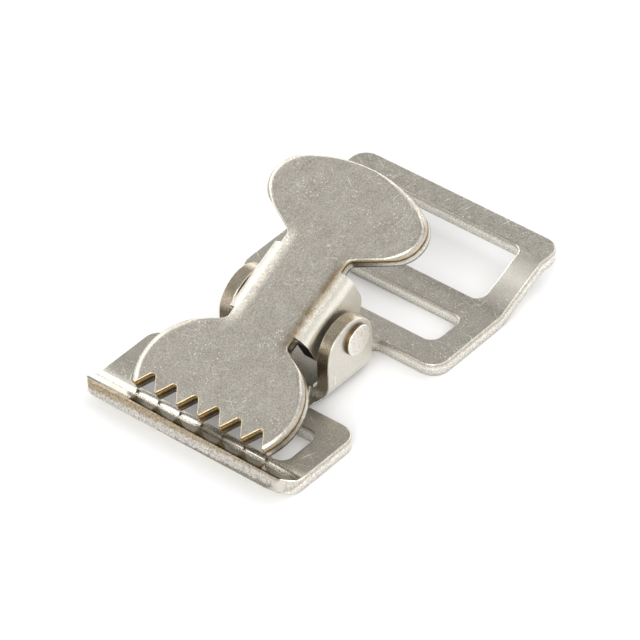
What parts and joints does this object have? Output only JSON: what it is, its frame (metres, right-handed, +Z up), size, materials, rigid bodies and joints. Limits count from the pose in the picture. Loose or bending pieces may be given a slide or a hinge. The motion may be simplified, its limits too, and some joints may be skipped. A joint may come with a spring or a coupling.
{
  "type": "strap clamp buckle",
  "caption": "Sheet-metal strapping buckle: a slotted base frame with a raised strap bar and a riveted, sprung thumb lever whose toothed jaw grips the strap on an upturned lip.",
  "frame": {"origin": "middle of the buckle's length and width, on the underside that lies on the strap or bench", "axes": "+X along the strap from the toothed jaw to the raised rear bar, +Y along the rivet, +Z up through the lever"},
  "size_m": [0.0592, 0.034, 0.0221],
  "materials": {
    "frame_steel": "satin, tumbled stainless sheet",
    "lever_steel": "satin, tumbled stainless sheet",
    "rivet_steel": "drawn and headed steel",
    "spring_wire": "drawn spring wire"
  },
  "bodies": {
    "base": {"base_frame": "frame_steel", "pivot_rivet": "rivet_steel", "return_spring": "spring_wire"},
    "lever": {"clamp_lever": "lever_steel"}
  },
  "joints": [
    {"name": "lever_pivot", "type": "hinge", "parent": "base", "child": "lever", "pos_m": [-0.0047, 0, 0.00775], "axis": [0, 1, 0], "range_deg": [0, 54], "stiffness_Nm_per_rad": 0.06, "springref_deg": -68.75, "deforming": ["return_spring"]}
  ]
}
